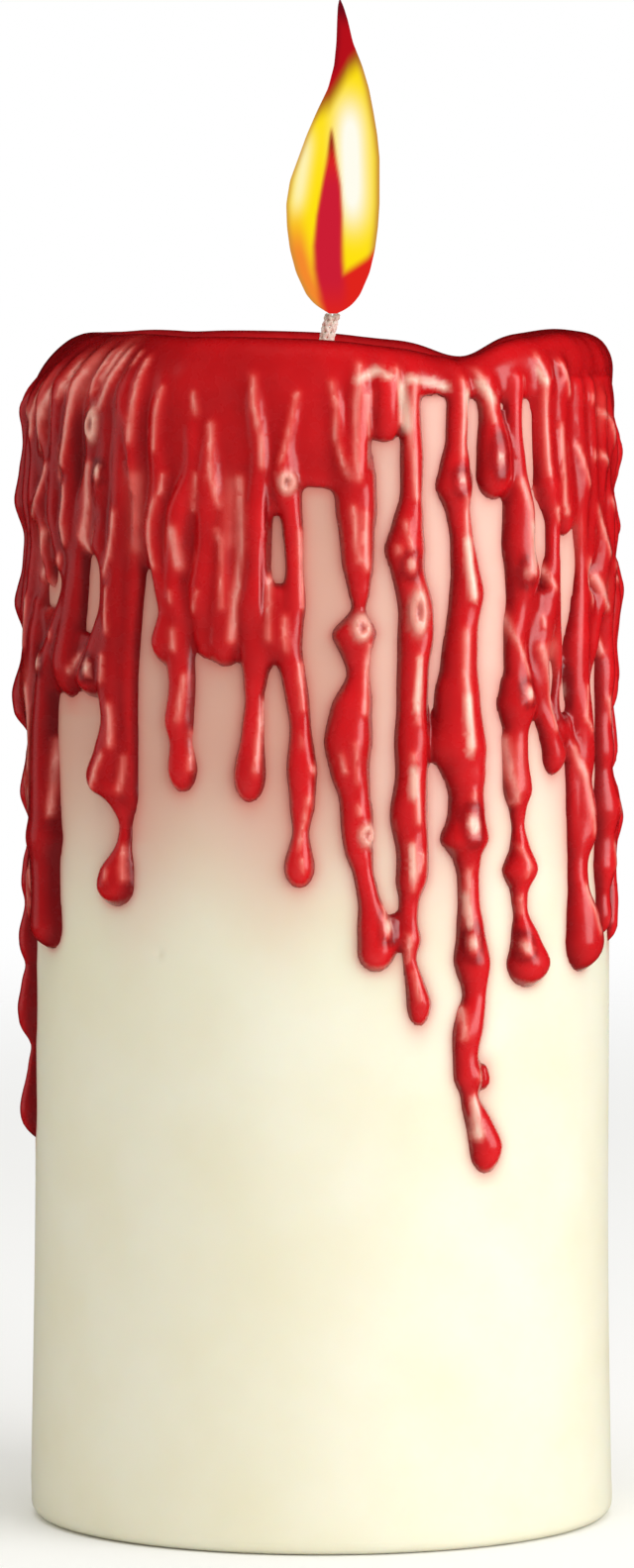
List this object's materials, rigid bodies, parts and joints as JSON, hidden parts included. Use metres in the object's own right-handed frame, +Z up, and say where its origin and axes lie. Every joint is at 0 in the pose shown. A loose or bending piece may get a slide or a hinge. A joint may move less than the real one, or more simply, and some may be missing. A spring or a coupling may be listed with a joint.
{
  "type": "melted pillar candle",
  "caption": "Lit ivory pillar candle with glossy red wax poured over its dished rim and running down the side in beaded drips.",
  "frame": {"origin": "centre of the flat base, on the surface the candle stands on", "axes": "+Z up along the candle's axis, -Y towards the front with the longest drips, +X to the right seen from the front"},
  "size_m": [0.0818, 0.0812, 0.2004],
  "materials": {
    "ivory_wax": "smooth satin wax",
    "red_wax": "glossy poured wax",
    "wick_cotton": "braided cotton, primed with wax",
    "tinned_steel": "pressed tinplate",
    "flame_gas": "glowing"
  },
  "bodies": {
    "root": {"wax_body": "ivory_wax", "red_wax": "red_wax", "wick": "wick_cotton", "wick_sustainer": "tinned_steel", "flame": "flame_gas"}
  },
  "joints": []
}
